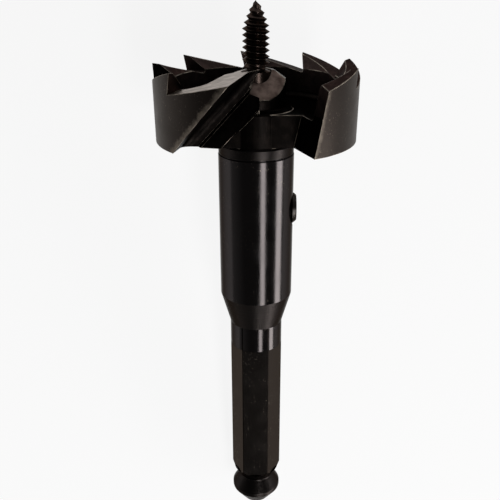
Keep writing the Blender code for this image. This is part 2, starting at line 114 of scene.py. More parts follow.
ahead = Vector((0, math.cos(PITCH), -math.sin(PITCH)))
upward = Vector((0, math.sin(PITCH), math.cos(PITCH)))
place = Vector((0, -CAMERA_DISTANCE, CAMERA_HEIGHT))
turn = Matrix.Identity(3)
turn.col[0] = lie @ Vector((1, 0, 0))
turn.col[1] = lie @ upward
turn.col[2] = lie @ -ahead
camera_data = bpy.data.cameras.new("photo_camera")
camera_data.sensor_width = SENSOR_WIDTH
camera_data.lens = FOCAL_PIXELS / IMAGE_PIXELS * SENSOR_WIDTH
camera_data.shift_x = (IMAGE_PIXELS / 2 - AXIS_PIXEL) / IMAGE_PIXELS
camera_data.clip_start = 0.005
camera = bpy.data.objects.new("photo_camera", camera_data)
bpy.context.collection.objects.link(camera)
camera.matrix_world = Matrix.Translation(TO_FRAME @ place) @ turn.to_4x4()
bpy.context.scene.camera = camera
print("camera at", [round(v, 4) for v in camera.location])

# %% [markdown]
# Turned surfaces are made as a lathe makes them: a profile of radius and height goes round the
# axis. Blender's Spin would do the same, but it leaves doubled points where a profile meets the
# axis. Here such a point is made once, so the mesh is closed from the start.


# %% Turn a profile
def to_object(name, bm):
    """Link the mesh under a name, with its faces pointing out."""
    bmesh.ops.recalc_face_normals(bm, faces=bm.faces)
    mesh = bpy.data.meshes.new(name)
    bm.to_mesh(mesh)
    bm.free()
    obj = bpy.data.objects.new(name, mesh)
    bpy.context.collection.objects.link(obj)
    return obj


def turned(name, profile, sides):
    """Turn (radius, height) points about the axis; a zero radius closes an end."""
    bm = bmesh.new()
    rings = []
    for radius, height in profile:
        count = sides if radius > 0 else 1
        ring = []
        for i in range(count):
            angle = 2 * math.pi * (i + 0.5) / sides
            x, y = radius * math.sin(angle), -radius * math.cos(angle)
            ring.append(bm.verts.new((x, y, height)))
        rings.append(ring)
    for low, high in zip(rings, rings[1:]):
        for i in range(sides):
            j = (i + 1) % sides
            corners = [low[i % len(low)], low[j % len(low)],
                       high[j % len(high)], high[i % len(high)]]
            bm.faces.new(list(dict.fromkeys(corners)))
    return to_object(name, bm)


def arc(centre, radius, first, last, steps):
    """Points of an arc as (a, b) pairs."""
    angles = [first + (last - first) * i / steps for i in range(steps + 1)]
    return [(centre[0] + radius * math.cos(a), centre[1] + radius * math.sin(a)) for a in angles]


# %% [markdown]
# A cutter is made by pushing an outline along one direction, which is what a milling pass does.
# A Boolean then takes it away from the steel. Modelling the cut faces by hand would need every
# line where two passes meet, and the Boolean finds these lines by itself.


# %% Mill an outline and cut with it
def milled(name, outline, start, end):
    """Push an outline of points along one direction, between two offsets."""
    bm = bmesh.new()
    near = [bm.verts.new(p + start) for p in outline]
    far = [bm.verts.new(p + end) for p in outline]
    bm.faces.new(near)
    bm.faces.new(far)
    for i in range(len(outline)):
        j = (i + 1) % len(outline)
        bm.faces.new((near[i], near[j], far[j], far[i]))
    return to_object(name, bm)


def bake_modifiers(obj):
    """Turn what the modifiers make into the object's own plain mesh."""
    bpy.context.view_layer.update()
    graph = bpy.context.evaluated_depsgraph_get()
    mesh = bpy.data.meshes.new_from_object(obj.evaluated_get(graph))
    obj.modifiers.clear()
    obj.data = mesh


def combine(target, tool, operation, self_cut=False):
    """Apply one Boolean and throw the tool away."""
    mod = target.modifiers.new(tool.name, "BOOLEAN")
    mod.operation = operation
    mod.solver = "EXACT"
    mod.use_self = self_cut
    mod.object = tool
    bake_modifiers(target)
    bpy.data.objects.remove(tool, do_unlink=True)


# %% [markdown]
# The cutter head starts as a turned cup: a thick base, a floor and a rim whose inner side is
# bevelled towards the teeth. Its profile is written as sizes, with the floor's corner as an arc.

# %% Head blank
SIDES = 240
cup_corner = arc((CUP_R - CUP_FILLET, FLOOR + CUP_FILLET), CUP_FILLET, -math.pi / 2, 0, 6)
bevel_low = TOOTH_TIP - (RIM_TOP_R - RIM_LAND - CUP_R)
outer_side = [(HUB_R, BASE_HUB), (RIM_LOW_R, BASE_RIM), (RIM_TOP_R, TOOTH_TIP)]
inner_side = [(RIM_TOP_R - RIM_LAND, TOOTH_TIP), (CUP_R, bevel_low)] + cup_corner[::-1]
body = turned("cutter_body", [(0, BASE_HUB)] + outer_side + inner_side + [(0, FLOOR)], SIDES)
print("head blank:", len(body.data.polygons), "faces")

# %% [markdown]
# An arm is left standing in the cup to carry the lip. Seen from above it is a block between two
# straight sides, rounded where its rear side runs into the rim. Its top follows the flank, the
# plane that falls away behind the lip, a little high, so that the flank's own cut leaves it clean.

# %% Arm that carries the lip
LIP_OUT = Vector((-5.1, -21.5, LIP))
LIP_SKEW = math.radians(11.6)
FLANK_DROP = math.tan(math.radians(12.5))
ARM_REAR_SKEW = math.radians(16.0)
ARM_REAR_X, ARM_FRONT_X, ARM_INNER_Y, ARM_OUTER_Y = -6.8, 0.67, 1.5, -9.5
ARM_FILLET, ARM_BOTTOM, ARM_WALL_END = 3.0, 104.8, math.radians(5.0)
ARM_FOOT_SPREAD, FLANK_STOCK = 3.0, 0.3
lip_dir = Vector((math.sin(LIP_SKEW), math.cos(LIP_SKEW), 0))
lip_side = Vector((math.cos(LIP_SKEW), -math.sin(LIP_SKEW), 0))
rear_dir = Vector((-math.sin(ARM_REAR_SKEW), -math.cos(ARM_REAR_SKEW), 0))
rear_side = Vector((-math.cos(ARM_REAR_SKEW), math.sin(ARM_REAR_SKEW), 0))
offset = Vector((ARM_REAR_X, ARM_INNER_Y, 0)) + rear_side * ARM_FILLET
along = -offset.dot(rear_dir) + math.sqrt(
    offset.dot(rear_dir) ** 2 - offset.length_squared + (CUP_R - ARM_FILLET) ** 2)
corner = offset + rear_dir * along
corner_arc = arc(corner, ARM_FILLET, math.atan2(-rear_side.y, -rear_side.x),
                 math.atan2(corner.y, corner.x), 10)
arm_plan = [Vector((ARM_REAR_X, ARM_INNER_Y, 0))] + [Vector((a, b, 0)) for a, b in corner_arc]
mid_wall = 0.5 * (CUP_R + RIM_LOW_R)
wall_from = math.atan2(corner.x, -corner.y)
for i in range(9):
    angle = wall_from + (ARM_WALL_END - wall_from) * i / 8
    arm_plan.append(Vector((mid_wall * math.sin(angle), -mid_wall * math.cos(angle), 0)))
arm_plan += [Vector((ARM_FRONT_X, ARM_OUTER_Y, 0)), Vector((ARM_FRONT_X, ARM_INNER_Y, 0))]


def on_flank(point):
    """The point at the height of the plane that falls away behind the lip."""
    behind = (point - LIP_OUT).dot(lip_side)
    return Vector((point.x, point.y, LIP + behind * FLANK_DROP))


arm = milled("arm", arm_plan, Vector((0, 0, ARM_BOTTOM)), Vector((0, 0, TOOTH_TIP)))
for vert in list(arm.data.vertices)[:len(corner_arc) + 1]:
    vert.co.x -= ARM_FOOT_SPREAD
for vert in list(arm.data.vertices)[len(arm_plan):]:
    vert.co.z = on_flank(vert.co).z + FLANK_STOCK
combine(body, arm, "UNION")
print("head blank with its arm:", len(body.data.polygons), "faces")

# %% [markdown]
# The teeth are left between straight gashes, each milled along a radius. Only one gash is drawn:
# a hooked face in front of the tooth, a small root radius, and the long land behind the tooth
# before it. Its slope comes from the tooth depth and the pitch, so the lands meet the next tips.

# %% One gash
TOOTH_PITCH = math.radians(40.0)
FIRST_TOOTH = math.radians(-50.0)
GASH_COUNT = 7
TOOTH_DEPTH, TOOTH_HOOK, GASH_ROOT_R = 4.2, math.radians(13.0), 0.5
GASH_FACE, GASH_OVERRUN, GASH_CLEAR, GASH_INNER, GASH_OUTER = 10.5, 1.2, 6.0, 6.0, 3.0
tooth_side = RIM_TOP_R * math.sin(TOOTH_PITCH / 2)
gash_hook = TOOTH_DEPTH * math.tan(TOOTH_HOOK)
gash_slope = math.atan(TOOTH_DEPTH / (2 * tooth_side + gash_hook))
root = Vector((-tooth_side - gash_hook, TOOTH_TIP - TOOTH_DEPTH))
face = Vector((math.sin(TOOTH_HOOK), math.cos(TOOTH_HOOK)))
land = Vector((math.cos(gash_slope), math.sin(gash_slope)))
root_reach = GASH_ROOT_R / math.sin(math.acos(face.dot(land)) / 2)
centre = root + (face + land).normalized() * root_reach
root_arc = arc(centre, GASH_ROOT_R, math.pi - TOOTH_HOOK, 1.5 * math.pi + gash_slope, 6)
tip = root + land * ((TOOTH_DEPTH + GASH_OVERRUN) / math.sin(gash_slope))
section = [tuple(root + face * GASH_FACE)] + root_arc
section += [tuple(tip), (tip.x, TOOTH_TIP + GASH_CLEAR)]
gash = milled("gash", [Vector((w, 0, z)) for w, z in section],
              Vector((0, -(CUP_R - GASH_INNER), 0)), Vector((0, -(RIM_TOP_R + GASH_OUTER), 0)))
print("slope of a tooth's land:", round(math.degrees(gash_slope), 1), "degrees")

# %% [markdown]
# Two things here are made by nodes: shapes that repeat, and every finish. One small function adds a
# node, sets it up and links it. Written out each time, the same steps would hide what a tree does.
# Inputs are given by name, or by number as i0, i1 and so on where a node repeats a name.


# %% A small helper for nodes
def add(tree, kind, settings=None, **links):
    """Add a node, set it up, and link inputs given as a socket or as a node (first output)."""
    node = tree.nodes.new(kind)
    for name, value in (settings or {}).items():
        setattr(node, name, value)
    for name, value in links.items():
        key = int(name[1:]) if name[0] == "i" and name[1:].isdigit() else name.replace("_", " ")
        socket = node.inputs[key]
        if isinstance(value, bpy.types.Node):
            value = value.outputs[0]
        if isinstance(value, bpy.types.NodeSocket):
            tree.links.new(value, socket)
        else:
            socket.default_value = value
    return node


# %% [markdown]
# Every part is steel, so one function starts each finish: a Principled shader that is all metal. A
# finish's plain numbers stay on the shader's own sockets, and the patterns are linked to it later.
# All patterns are measured in millimetres on the bit's own axes. A Mapping node brings these back
# from the lying position, so turning rings stay round the axis and feed marks run along it.


# %% Colour, and the start of every finish
def linear(code):
    """Turn an sRGB hex colour into the linear values that a shader takes."""
    shares = [int(code[i:i + 2], 16) / 255 for i in (1, 3, 5)]
    return tuple(c / 12.92 if c <= 0.04045 else ((c + 0.055) / 1.055) ** 2.4
                 for c in shares) + (1.0,)


back_turn = lie.transposed()
back_place = -(back_turn @ (TO_FRAME.translation * 1000))
print("pattern origin, mm:", [round(v, 2) for v in back_place])


def steel(name, colour, roughness, edge):
    """A metal with its plain numbers on the shader's own sockets, and bit millimetres.

    Edge is the tint at a glancing view, where oil and oxide keep a blackened steel dark."""
    mat = bpy.data.materials.new(name)
    mat.use_nodes = True
    tree = mat.node_tree
    shader = tree.nodes["Principled BSDF"]
    shader.inputs["Base Color"].default_value = linear(colour)
    shader.inputs["Roughness"].default_value = roughness
    shader.inputs["Metallic"].default_value = 1.0
    shader.inputs["Specular Tint"].default_value = edge
    coords = add(tree, "ShaderNodeTexCoord")
    at = add(tree, "ShaderNodeMapping", {"vector_type": "POINT"}, Vector=coords.outputs["Object"],
             Location=back_place, Rotation=back_turn.to_euler(), Scale=(1000, 1000, 1000))
    return mat, tree, shader, at.outputs[0]


def patterned(tree, shader, colours, gloss, height, bump_strength, bump_depth):
    """Link a mix of two colours, a gloss and a bump to the shader of a finish."""
    share, low, high = colours
    tint = add(tree, "ShaderNodeMix", {"data_type": "RGBA"}, i0=share, i6=linear(low),
               i7=linear(high))
    bump = add(tree, "ShaderNodeBump", Strength=bump_strength, Distance=bump_depth, Height=height)
    tree.links.new(tint.outputs[2], shader.inputs["Base Color"])
    tree.links.new(gloss.outputs[0], shader.inputs["Roughness"])
    tree.links.new(bump.outputs[0], shader.inputs["Normal"])


# %% [markdown]
# The milled faces of the head were torn by a cutter before they went into the blackening bath. They
# scatter the light and look quite black, and in the gullet and the cup the colour is made darker
# still as painted shade of the hollow. Flat black in the shader would lose their faint upright feed
# marks, so a stretched noise drives the gloss and a low bump instead.

# %% Milled and blackened steel
FEED, SMEAR_SIZE, FEED_RUN = 0.5, 2.0, 0.06


def milled_oxide(name, colour, smear, roughness):
    """Faces left by a milling cutter and blackened: dull and dark, and with a very dark colour they
    also carry painted shade.
    """
    mat, tree, shader, at = steel(name, colour, roughness, (0.4, 0.4, 0.4, 1.0))
    # Chips smear the oxide in soft patches of 1 to 3 mm
    smears = add(tree, "ShaderNodeTexNoise", Vector=at, Scale=1 / SMEAR_SIZE, Detail=4.0,
                 Roughness=0.65)
    amount = add(tree, "ShaderNodeMapRange", i0=smears, i1=0.45, i2=0.75)
    # Feed marks about half a millimetre apart, running up the walls
    marks = add(tree, "ShaderNodeMapping", Vector=at, Scale=(1 / FEED, 1 / FEED, FEED_RUN))
    mark = add(tree, "ShaderNodeTexNoise", Vector=marks, Scale=1.0, Detail=3.0)
    gloss = add(tree, "ShaderNodeMapRange", i0=mark, i1=0.3, i2=0.7,
                i3=roughness - 0.08, i4=roughness + 0.08)
    patterned(tree, shader, (amount, colour, smear), gloss, mark, 0.3, 0.00005)
    return mat


# The teeth: rubbed a little by wood, so a shade lighter and browner than the gullet
tooth_oxide = milled_oxide("black_oxide_milled_teeth", "#322a28", "#463936", 0.45)
print("finish of the teeth:", tooth_oxide.name)

# %% [markdown]
# A Geometry Nodes tree sets the gashes round the axis at the tooth pitch, as an indexing head does:
# one point for each gash, a copy of the cutter on each point, turned by its number. An Array
# modifier could do the same with an empty to turn about, but the tree keeps the count, the pitch
# and the start as named inputs. The joined copies are cut away in one go.


# %% Set the gashes round the axis
def new_tree(name, inputs):
    """An empty geometry tree with named inputs, and the sockets that bring them in."""
    tree = bpy.data.node_groups.new(name, "GeometryNodeTree")
    sockets = [("Geometry", "Geometry")] + inputs
    for label, kind in sockets:
        tree.interface.new_socket(label, in_out="INPUT", socket_type="NodeSocket" + kind)
    tree.interface.new_socket("Geometry", in_out="OUTPUT", socket_type="NodeSocketGeometry")
    return tree, add(tree, "NodeGroupInput").outputs


def run_tree(obj, tree, values):
    """Put the tree on the object, set its inputs by identifier, and keep the plain mesh."""
    mod = obj.modifiers.new(tree.name, "NODES")
    mod.node_group = tree
    for item in tree.interface.items_tree:
        if item.in_out == "INPUT" and item.name in values:
            mod[item.identifier] = values[item.name]
    bake_modifiers(obj)


tree, given = new_tree("index_round_axis", [("Count", "Int"), ("Pitch", "Float"),
                                            ("Start", "Float"), ("Finish", "Material")])
points = add(tree, "GeometryNodePoints", Count=given["Count"])
index = add(tree, "GeometryNodeInputIndex")
step = add(tree, "ShaderNodeMath", {"operation": "MULTIPLY_ADD"}, i0=index,
           i1=given["Pitch"], i2=given["Start"])
spin = add(tree, "ShaderNodeCombineXYZ", Z=step)
copies = add(tree, "GeometryNodeInstanceOnPoints", Points=points,
             Instance=given["Geometry"], Rotation=spin)
real = add(tree, "GeometryNodeRealizeInstances", Geometry=copies)
dressed = add(tree, "GeometryNodeSetMaterial", Geometry=real, Material=given["Finish"])
add(tree, "NodeGroupOutput", Geometry=dressed)
run_tree(gash, tree, {"Count": GASH_COUNT, "Pitch": -TOOTH_PITCH,
                      "Start": FIRST_TOOTH - TOOTH_PITCH / 2, "Finish": tooth_oxide})
print("gashes:", GASH_COUNT, "with", len(gash.data.polygons), "faces in all")
combine(body, gash, "DIFFERENCE", self_cut=True)

# %% [markdown]
# The gullet lets the chips out. An upright pass opens its right side, back to the hub, before the
# boss is added. It starts where the slanted pass of a later step will end, so that the two meet
# without a ridge, and its right wall leans outward as it rises.

# %% Upright pass of the gullet
RAKE_ANGLE = math.radians(42.0)
SLANT_OUTWARD = math.radians(10.0)
SLANT_RIGHT, UPRIGHT_FLOOR, PASS_OVERLAP, CLEAR = 9.2, 7.5, 0.3, 5.0
RIGHT_WALL_X, RIGHT_WALL_Y = 9.9, 8.4
RIGHT_WALL_SKEW, RIGHT_WALL_SLANT = math.radians(16.7), math.radians(12.6)
slant_level = Vector((-math.sin(RAKE_ANGLE), 0, -math.cos(RAKE_ANGLE)))
slant_side = Vector((math.cos(RAKE_ANGLE), 0, -math.sin(RAKE_ANGLE)))
slant_dir = slant_level * math.cos(SLANT_OUTWARD) - lip_dir * math.sin(SLANT_OUTWARD)
slant_dir = slant_dir.normalized()
edge_at = LIP_OUT + slant_side * (SLANT_RIGHT - PASS_OVERLAP)
left_slope = slant_dir.x / slant_dir.z
wall_bend = edge_at.z + (ARM_FRONT_X - PASS_OVERLAP - edge_at.x) / left_slope
outside = RIM_TOP_R + CLEAR
upright = bmesh.new()
levels = []
for height in (BASE_HUB - CLEAR, wall_bend, TOOTH_TIP + CLEAR):
    left_x = min(ARM_FRONT_X - PASS_OVERLAP, edge_at.x + (height - edge_at.z) * left_slope)
    wall = RIGHT_WALL_X + (height - FLOOR) * math.tan(RIGHT_WALL_SLANT)
    right = [(wall - (y + RIGHT_WALL_Y) * math.tan(RIGHT_WALL_SKEW), y)
             for y in (-outside, -UPRIGHT_FLOOR)]
    plan = [(left_x, -outside), right[0], right[1], (left_x, -UPRIGHT_FLOOR)]
    levels.append([upright.verts.new((x, y, height)) for x, y in plan])
upright.faces.new(levels[0])
upright.faces.new(levels[-1])
for low, high in zip(levels, levels[1:]):
    for i in range(4):
        j = (i + 1) % 4
        upright.faces.new((low[i], low[j], high[j], high[i]))
combine(body, to_object("gullet_upright", upright), "DIFFERENCE")
print("upright pass cut:", len(body.data.polygons), "faces")

# %% [markdown]
# The shank, barrel, hub and boss are turned on the same axis. The corners get small radii, as
# a turning tool and tumbling leave them, and these catch thin lines of light. They are rounded in
# the profile, before it is turned, which costs a few points and no modifier.


# %% Shaft
def round_corners(profile, radius, steps):
    """Round every inner point of a profile that turns by more than a few degrees."""
    rounded = [profile[0]]
    for before, here, after in zip(profile, profile[1:], profile[2:]):
        a, b, c = Vector(before), Vector(here), Vector(after)
        into, out = (b - a).normalized(), (c - b).normalized()
        bend = into.angle(out)
        if bend < math.radians(8):
            rounded.append(here)
            continue
        reach = min(radius * math.tan(bend / 2), 0.45 * (b - a).length, 0.45 * (c - b).length)
        first, last = b - into * reach, b + out * reach
        for i in range(steps + 1):
            t = i / steps
            rounded.append(tuple(first.lerp(b, t).lerp(b.lerp(last, t), t)))
    rounded.append(profile[-1])
    return rounded


RING_GROOVE, CORNER_R, CORNER_STEPS = 0.15, 0.5, 4
shaft_profile = [
    (END_R, 0), (COLLAR_R, COLLAR_LOW), (COLLAR_R, COLLAR_HIGH), (GROOVE_R, GROOVE),
    (BAR_R, HEX_LOW), (BAR_R, TAPER_LOW), (BARREL_R, TAPER_HIGH), (BARREL_R, BARREL_TOP),
    (RING_R - RING_GROOVE, BARREL_TOP + 0.12), (RING_R - RING_GROOVE, BARREL_TOP + 0.25),
    (RING_R, BARREL_TOP + 0.35), (RING_R, BASE_HUB - 0.4), (HUB_R, BASE_HUB - 0.1),
    (HUB_R, FLOOR + 0.1), (BOSS_R, FLOOR + 0.5), (BOSS_R, BOSS_TOP), (NOSE_R, NOSE_TOP),
    (SCREW_R, NOSE_TOP)]
shaft_profile = round_corners(shaft_profile, CORNER_R, CORNER_STEPS)
shaft = turned("shaft", [(0, 0)] + shaft_profile + [(0, NOSE_TOP)], SIDES)
combine(body, shaft, "UNION")
print("body with its shaft:", len(body.data.polygons), "faces")

# %% [markdown]
# The flank behind the lip falls away from the cutting edge, so that only the edge meets the wood.
# It is one plane through the edge, which also makes the first tooth's land. It runs in as far as
# the feed screw, over the left side of the boss. Its far end follows the second tooth's hooked
# face, so the two cuts leave that face whole.

# %% Flank behind the lip
FLANK_RISE, FLANK_RIGHT, FLANK_INNER, FLANK_LEFT = 9.2, 2.17, 8.0, -11.8
face_mid = FIRST_TOOTH + TOOTH_PITCH / 2
face_out = Vector((math.sin(face_mid), -math.cos(face_mid), 0))
face_turn = Vector((math.cos(face_mid), math.sin(face_mid), 0))
face_foot = -tooth_side - gash_hook


def on_leading_face(reach):
    """Where the flank meets the hooked face of the second tooth, at a distance from the axis."""
    point = face_turn * face_foot + face_out * reach
    rise = on_flank(point).z - (TOOTH_TIP - TOOTH_DEPTH)
    return point + face_turn * rise * math.tan(TOOTH_HOOK)


flank_plan = [on_leading_face(outside), on_leading_face(CUP_R - 5.0),
              Vector((FLANK_LEFT, FLANK_INNER, 0)), Vector((FLANK_RIGHT, FLANK_INNER, 0)),
              Vector((FLANK_RIGHT, -outside, 0)), Vector((-0.5 * outside, -outside, 0))]
flank = milled("flank", [on_flank(p) for p in flank_plan], Vector((0, 0, 0)),
               Vector((0, 0, FLANK_RISE)))
for vert in list(flank.data.vertices)[len(flank_plan):len(flank_plan) + 2]:
    vert.co += face_turn * FLANK_RISE * math.tan(TOOTH_HOOK)
combine(body, flank, "DIFFERENCE")
print("flank cut:", len(body.data.polygons), "faces")

# %% [markdown]
# The slanted pass makes the lip's undercut face. Its floor has a deep part beside the face and a
# shallow part beside that, with a small step between them, which catches a thin line of light. It
# runs a little outward as it goes down, and it stops at an upright plane in front of the boss.

# %% Slanted pass of the gullet
DEEP_FLOOR, DEEP_FILLET, DEEP_SIDE, STEP_WIDTH = 4.3, 2.0, 5.2, 0.4
SHALLOW_FROM, SHALLOW_TO = 5.4, 6.2
PASS_UP, PASS_DOWN, KEEP_OUT, KEEP_LOW, KEEP_HIGH = 16.0, 28.0, 40, 85, 140
rake_lean = math.atan2(lip_dir.dot(slant_side), lip_dir.y)
rake = Vector((math.sin(rake_lean), math.cos(rake_lean)))
in_front = -(RIM_TOP_R + 10.0 + LIP_OUT.y)
deep_y = -DEEP_FLOOR - LIP_OUT.y
foot = rake * (deep_y / math.cos(rake_lean))
back = DEEP_FILLET / math.tan((math.pi / 2 + rake_lean) / 2)
deep_arc = arc((foot.x + back, deep_y - DEEP_FILLET), DEEP_FILLET,
               math.pi - rake_lean, math.pi / 2, 14)
section = [tuple(rake * in_front)] + deep_arc + [
    (DEEP_SIDE, deep_y), (DEEP_SIDE + STEP_WIDTH, -SHALLOW_FROM - LIP_OUT.y),
    (SLANT_RIGHT, -SHALLOW_TO - LIP_OUT.y), (SLANT_RIGHT, in_front)]
plan = [LIP_OUT + slant_side * e + Vector((0, y, 0)) for e, y in section]
slanted = milled("gullet_slanted", plan, slant_dir * -PASS_UP, slant_dir * PASS_DOWN)
keep_plan = [Vector((-KEEP_OUT, -KEEP_OUT, 0)), Vector((ARM_FRONT_X, -KEEP_OUT, 0)),
             Vector((ARM_FRONT_X, KEEP_OUT, 0)), Vector((-KEEP_OUT, KEEP_OUT, 0))]
keep = milled("left_of_boss", keep_plan, Vector((0, 0, KEEP_LOW)), Vector((0, 0, KEEP_HIGH)))
combine(slanted, keep, "INTERSECT")
combine(body, slanted, "DIFFERENCE")
print("gullet cut:", len(body.data.polygons), "faces")

# %% [markdown]
# The shank is a round bar with six flats milled on it, so that the chuck can grip it. The cutter is
# a hexagonal ring: its inner side is the hexagon, and all that lies outside it is cut away. The
# bar is a hair thinner than the hexagon's corners, which leaves a thin round strip along each.

# %% Hexagon of the shank
HEX_TURN, HEX_RUN_IN, OUTSIDE_FLATS = math.radians(-2.0), 0.7, 20.0
hexagon = bmesh.new()
rows = []
for height in (HEX_LOW - HEX_RUN_IN, HEX_HIGH):
    for across in (HEX_FLATS, OUTSIDE_FLATS):
        radius = 0.5 * across / math.cos(math.radians(30.0))
        angles = [HEX_TURN + math.radians(30.0 + 60.0 * i) for i in range(6)]
        rows.append([hexagon.verts.new((radius * math.sin(a), -radius * math.cos(a), height))
                     for a in angles])
for i in range(6):
    j = (i + 1) % 6
    for first, last in ((0, 1), (2, 3), (0, 2), (1, 3)):
        hexagon.faces.new((rows[first][i], rows[first][j], rows[last][j], rows[last][i]))
combine(body, to_object("hexagon_flats", hexagon), "DIFFERENCE")
print("hexagon across flats:", HEX_FLATS, "mm")

# %% [markdown]
# The boss is ground off at forty-five degrees in front of the feed screw, so that chips slide past
# it. The cut is one plane with a slanted left side, pushed straight out.

# %% Flat on the boss
FLAT_TURN, FLAT_HEIGHT, FLAT_DEPTH = math.radians(12.0), 117.3, 8.0
FLAT_LEFT, FLAT_FLARE, FLAT_LONG, FLAT_ABOVE = 1.3, math.radians(38.9), 9.0, 2.0
flat_left = Vector((-math.cos(FLAT_TURN), -math.sin(FLAT_TURN), 0))
flat_front = Vector((math.sin(FLAT_TURN), -math.cos(FLAT_TURN), 0))
flat_down = (flat_front + Vector((0, 0, -1))).normalized()
flat_up = (flat_front + Vector((0, 0, 1))).normalized()
flat_point = Vector((0, 0, FLAT_HEIGHT))
flat_meet = SCREW_R * math.sqrt(2)
flare_up = FLAT_LEFT - (flat_meet + FLAT_ABOVE) * math.tan(FLAT_FLARE)
flare_down = FLAT_LEFT + (FLAT_LONG - flat_meet) * math.tan(FLAT_FLARE)
flat_plan = [flat_point + flat_left * flare_up - flat_down * FLAT_ABOVE,
             flat_point + flat_left * flare_down + flat_down * FLAT_LONG,
             flat_point - flat_left * FLAT_LONG + flat_down * FLAT_LONG,
             flat_point - flat_left * FLAT_LONG - flat_down * FLAT_ABOVE]
boss_cut = milled("boss_flat", flat_plan, Vector((0, 0, 0)), flat_up * FLAT_DEPTH)
combine(body, boss_cut, "DIFFERENCE")
print("boss flat cut:", len(body.data.polygons), "faces")

# %% [markdown]
# Two holes are drilled: one down the axis for the feed screw, and one from the side for its set
# screw. The side hole has a small countersink, which shows as a ring round the set screw.

# %% Bores
FIT, BORE_LOW, SIDE_FROM, SIDE_TO, SIDE_FIT, SIDE_SINK = 0.12, 76.4, 2.2, 17.2, 0.15, 0.75
bore = turned("bore", [(0, BORE_LOW), (SCREW_R + FIT, BORE_LOW), (SCREW_R + FIT, TOOTH_TIP),
                       (0, TOOTH_TIP)], 96)
combine(body, bore, "DIFFERENCE")
hole = turned("side_hole", [
    (0, SIDE_FROM), (SET_R + SIDE_FIT, SIDE_FROM), (SET_R + SIDE_FIT, BARREL_R - 0.9),
    (SET_R + SIDE_SINK, BARREL_R + 0.1), (SET_R + SIDE_SINK, SIDE_TO), (0, SIDE_TO)], 96)
to_the_side = Matrix.Rotation(math.pi / 2, 4, "Y")
hole.data.transform(Matrix.Translation((0, 0, SET_HEIGHT)) @ to_the_side)
combine(body, hole, "DIFFERENCE")
print("bit body:", len(body.data.polygons), "faces")

# %% [markdown]
# Black oxide is a thin layer that a hot bath grows on the steel, with oil in it. It is a metal to
# the eye: nearly black, neutral, and glossy enough on the turned shank to show each lamp as a
# narrow streak. A plain black would look like plastic. Clouds of oil in the gloss, fine turning
# rings in the bump and some pale specks make it read as handled steel.

# %% Black oxide
CLOUD, SPECK, SPECK_PATCH, RING_PITCH, GRAIN = 6.0, 0.35, 4.5, 0.4, 0.14
BAND_RAGGED, RUBBED_DULL, OILED_EDGE = 2.6, 0.35, (0.45, 0.44, 0.43, 1.0)


def rubbed_and_highlit_bands(tree, at, rub_and_highlight, worn_and_highlit_planes):
    """Add ragged pale bands beside some planes to the mask of rubbed specks, in front of the barrel
    only. The bands are partly rubbed steel and partly painted highlight.
    """
    mottle = add(tree, "ShaderNodeTexNoise", Vector=at, Scale=0.9, Detail=4.0, Roughness=0.7)
    for point, normal, width, strength in worn_and_highlit_planes:
        away = add(tree, "ShaderNodeVectorMath", {"operation": "SUBTRACT"}, i0=at, i1=tuple(point))
        offset = add(tree, "ShaderNodeVectorMath", {"operation": "DOT_PRODUCT"},
                     i0=away, i1=tuple(normal))
        depth = add(tree, "ShaderNodeMath", {"operation": "ABSOLUTE"}, i0=offset.outputs["Value"])
        ragged = add(tree, "ShaderNodeMath", {"operation": "MULTIPLY_ADD"}, i0=mottle,
                     i1=BAND_RAGGED * width, i2=depth)
        band = add(tree, "ShaderNodeMapRange", i0=ragged, i1=BAND_RAGGED * width,
                   i2=width, i4=strength)
        front = add(tree, "ShaderNodeSeparateXYZ", Vector=at)
        before = add(tree, "ShaderNodeMapRange", i0=front.outputs[1],
                     i1=-BARREL_R - 0.5, i2=-BARREL_R - 1.5)
        kept = add(tree, "ShaderNodeMath", {"operation": "MULTIPLY"}, i0=band, i1=before)
        rub_and_highlight = add(tree, "ShaderNodeMath", {"operation": "MAXIMUM"}, i0=rub_and_highlight, i1=kept).outputs[0]
    return rub_and_highlight


